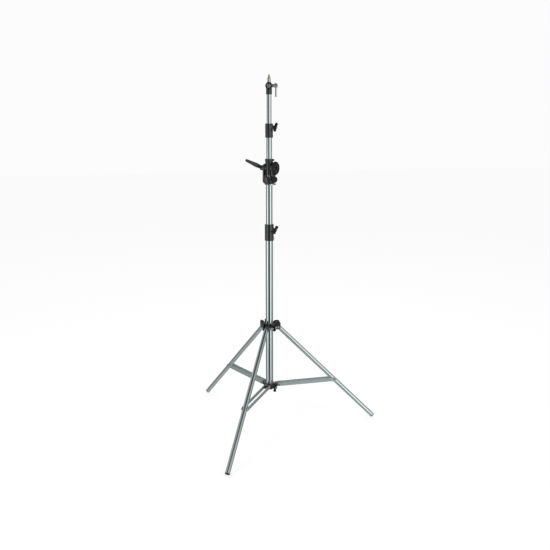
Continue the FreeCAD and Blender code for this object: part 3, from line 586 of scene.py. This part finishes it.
def studio_world():
    """White to the camera; reflections show soft boxes beside a dark camera side and a dark ceiling."""
    world = bpy.data.worlds.new("studio")
    bpy.context.scene.world = world
    world.use_nodes = True
    tree = world.node_tree
    tree.nodes.clear()

    def add(kind, **settings):
        made = tree.nodes.new(kind)
        for key, value in settings.items():
            setattr(made, key, value)
        return made

    def math_node(operation, first, second):
        made = add("ShaderNodeMath", operation=operation)
        for socket, value in zip(made.inputs, (first, second)):
            if isinstance(value, bpy.types.NodeSocket):
                tree.links.new(value, socket)
            else:
                socket.default_value = value
        return made.outputs[0]

    def ranged(value, *limits):
        made = add("ShaderNodeMapRange")
        tree.links.new(value, made.inputs["Value"])
        for name, number in zip(("From Min", "From Max", "To Min", "To Max"), limits):
            made.inputs[name].default_value = number
        return made.outputs["Result"]

    place = add("ShaderNodeTexCoord")
    turn = add("ShaderNodeMapping")
    turn.inputs["Rotation"].default_value = (0, 0, -HEADING)
    tree.links.new(place.outputs["Generated"], turn.inputs["Vector"])
    parts = add("ShaderNodeSeparateXYZ")
    tree.links.new(turn.outputs["Vector"], parts.inputs[0])
    right, away, up = parts.outputs
    bearing = math_node("ARCTAN2", right, math_node("MULTIPLY", away, -1.0))
    share = math_node("ADD", math_node("MULTIPLY", bearing, 0.5 / math.pi), 0.5)

    def bands(stops):
        """Brightness by bearing."""
        made = add("ShaderNodeValToRGB")
        tree.links.new(share, made.inputs["Fac"])
        ramp = made.color_ramp
        while len(ramp.elements) < len(stops):
            ramp.elements.new(0.5)
        for element, (degrees, level) in zip(ramp.elements, stops):
            element.position = degrees / 360.0 + 0.5
            element.color = (level, level, level, 1.0)
        return made.outputs["Color"]

    def towards(level, weight, other):
        """Mix of a level and another one by a weight."""
        kept = math_node("MULTIPLY", level, math_node("SUBTRACT", 1.0, weight))
        return math_node("ADD", kept, math_node("MULTIPLY", weight, other))

    level = math_node("MULTIPLY", bands(LOW_BANDS), ranged(up, *LOW_FADE))
    level = towards(level, ranged(up, *EYE_LEVEL, 0.0, 1.0), bands(HIGH_BANDS))
    for start, end, even in (SKY, CEILING):
        level = towards(level, ranged(up, start, end, 0.0, 1.0), even)
    start, end, even = GROUND
    level = towards(level, ranged(up, start, end, 1.0, 0.0), even)
    mirrored = add("ShaderNodeBackground")
    tree.links.new(level, mirrored.inputs["Strength"])
    mirrored.inputs["Color"].default_value = (1.0, 1.0, 1.0, 1.0)
    plain = add("ShaderNodeBackground")
    plain.inputs["Color"].default_value = (BACKDROP, BACKDROP, BACKDROP, 1.0)
    path = add("ShaderNodeLightPath")
    choose = add("ShaderNodeMixShader")
    tree.links.new(path.outputs["Is Glossy Ray"], choose.inputs["Fac"])
    tree.links.new(plain.outputs[0], choose.inputs[1])
    tree.links.new(mirrored.outputs[0], choose.inputs[2])
    output = add("ShaderNodeOutputWorld")
    tree.links.new(choose.outputs[0], output.inputs["Surface"])


def studio_floor():
    """Pale floor that takes a faint shadow and isn't mirrored in the chrome."""
    mesh = bpy.data.meshes.new("floor")
    sides = ((-1, -1), (1, -1), (1, 1), (-1, 1))
    corners = [(x * FLOOR_HALF, y * FLOOR_HALF, -FLOOR_DROP) for x, y in sides]
    mesh.from_pydata(corners, [], [(0, 1, 2, 3)])
    floor = bpy.data.objects.new("floor", mesh)
    bpy.context.scene.collection.objects.link(floor)
    material = bpy.data.materials.new("floor")
    material.use_nodes = True
    tree = material.node_tree
    tree.nodes.clear()
    glow = tree.nodes.new("ShaderNodeEmission")
    glow.inputs["Color"].default_value = (1, 1, 1, 1)
    glow.inputs["Strength"].default_value = FLOOR_GLOW
    matt = tree.nodes.new("ShaderNodeBsdfDiffuse")
    matt.inputs["Color"].default_value = (FLOOR_GREY, FLOOR_GREY, FLOOR_GREY, 1)
    both = tree.nodes.new("ShaderNodeAddShader")
    output = tree.nodes.new("ShaderNodeOutputMaterial")
    tree.links.new(glow.outputs[0], both.inputs[0])
    tree.links.new(matt.outputs[0], both.inputs[1])
    tree.links.new(both.outputs[0], output.inputs["Surface"])
    mesh.materials.append(material)
    floor.visible_glossy = False


def soft_box(name, bearing, height, distance, size, power):
    """Area light at a bearing from the camera's side of the stand, aimed at the column and not mirrored."""
    data = bpy.data.lights.new(name, "AREA")
    data.shape = "RECTANGLE"
    data.size, data.size_y = size
    data.energy = power
    light = bpy.data.objects.new(name, data)
    angle = HEADING - math.pi / 2 + math.radians(bearing)
    light.location = (distance * math.cos(angle), distance * math.sin(angle), height)
    aim = Vector((0, 0, AIM_HEIGHT)) - light.location
    light.rotation_euler = aim.to_track_quat("-Z", "Y").to_euler()
    light.visible_glossy = False
    bpy.context.scene.collection.objects.link(light)


def camera():
    data = bpy.data.cameras.new("camera")
    data.sensor_width = SENSOR
    data.lens = SENSOR * FOCAL_SHARE
    data.clip_end = VIEW_DEPTH
    view = bpy.data.objects.new("camera", data)
    turn = Matrix.Rotation(HEADING, 3, "Z")
    spot = turn @ Vector((CAMERA_SIDE, -CAMERA_BACK, 0))
    view.location = (spot.x, spot.y, CAMERA_HEIGHT)
    view.rotation_euler = (math.pi / 2 - PITCH, 0, HEADING)
    bpy.context.scene.collection.objects.link(view)
    bpy.context.scene.camera = view


studio_world()
studio_floor()
for box, setting in SOFT_BOXES.items():
    soft_box(box, *setting)
camera()
bpy.context.scene.view_settings.view_transform = "Standard"
bpy.context.scene.view_settings.look = "None"
